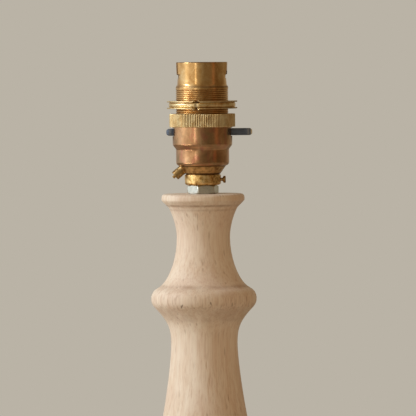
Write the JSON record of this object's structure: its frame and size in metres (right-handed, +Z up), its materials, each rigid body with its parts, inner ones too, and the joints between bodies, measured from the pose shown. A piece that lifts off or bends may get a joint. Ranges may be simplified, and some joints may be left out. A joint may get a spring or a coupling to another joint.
{
  "type": "table lamp base",
  "caption": "Turned wooden table lamp base on a round felted foot, with a brass bayonet lampholder, side push-bar switch and threaded shade ring.",
  "frame": {"origin": "centre of the underside of the felt pad, on the surface the lamp stands on", "axes": "+Z up along the column's axis; the switch bar runs along X and stands out further towards +X at rest; -Y is the front and the cord leaves the foot towards +Y"},
  "size_m": [0.138, 0.1379, 0.405],
  "materials": {
    "beech": "pale oiled hardwood, satin",
    "golden_brass": "lightly tarnished, polished",
    "aged_brass": "copper-brown lacquered, polished",
    "raw_brass": "raw machined",
    "cast_brass": "rough cast",
    "turned_brass": "turned",
    "zinc_steel": "dull zinc plate",
    "spring_steel": "bright wire",
    "black_moulding": "charcoal, satin",
    "brown_moulding": "dark brown phenolic",
    "cream_moulding": "cream, satin",
    "rubber": "matt black",
    "felt": "dark green felt"
  },
  "bodies": {
    "lamp": {"felt_pad": "felt", "foot": "beech", "column": "beech", "threaded_tube": "zinc_steel", "foot_washer": "zinc_steel", "foot_nut": "zinc_steel", "cord_grommet": "rubber", "top_nut": "zinc_steel", "cap_base": "cast_brass", "locking_screw": "turned_brass", "earth_terminal": "turned_brass", "earth_screw": "turned_brass", "body_shell": "aged_brass", "switch_base": "brown_moulding", "pivot_pin": "zinc_steel", "terminal_blocks": "turned_brass", "terminal_screws": "zinc_steel", "contact_strips": "turned_brass", "insulator": "brown_moulding", "spring_front": "spring_steel", "spring_rear": "spring_steel", "barrel": "golden_brass", "union_ring": "raw_brass"},
    "push_bar": {"push_bar": "black_moulding"},
    "rocker": {"switch_rocker": "cream_moulding"},
    "plunger_front": {"plunger_front": "turned_brass"},
    "plunger_rear": {"plunger_rear": "turned_brass"},
    "shade_ring": {"shade_ring": "raw_brass"}
  },
  "joints": [
    {"name": "push_bar_slide", "type": "slide", "parent": "lamp", "child": "push_bar", "axis": [-1, 0, 0], "range_m": [0, 0.0073]},
    {"name": "rocker_turn", "type": "hinge", "parent": "lamp", "child": "rocker", "pos_m": [0, 0, 0.36], "axis": [0, -1, 0], "range_deg": [0, 59.2]},
    {"name": "plunger_front_press", "type": "slide", "parent": "lamp", "child": "plunger_front", "axis": [0, 0, -1], "range_m": [0, 0.0035], "stiffness_N_per_m": 600, "springref_m": -0.003, "deforming": ["spring_front"]},
    {"name": "plunger_rear_press", "type": "slide", "parent": "lamp", "child": "plunger_rear", "axis": [0, 0, -1], "range_m": [0, 0.0035], "stiffness_N_per_m": 600, "springref_m": -0.003, "deforming": ["spring_rear"]},
    {"name": "shade_ring_travel", "type": "slide", "parent": "lamp", "child": "shade_ring", "axis": [0, 0, 1], "range_m": [-0.0025, 0.027]}
  ],
  "couplings": [
    {"joint": "rocker_turn", "follows": "push_bar_slide", "rad_per_m": 141.3}
  ]
}
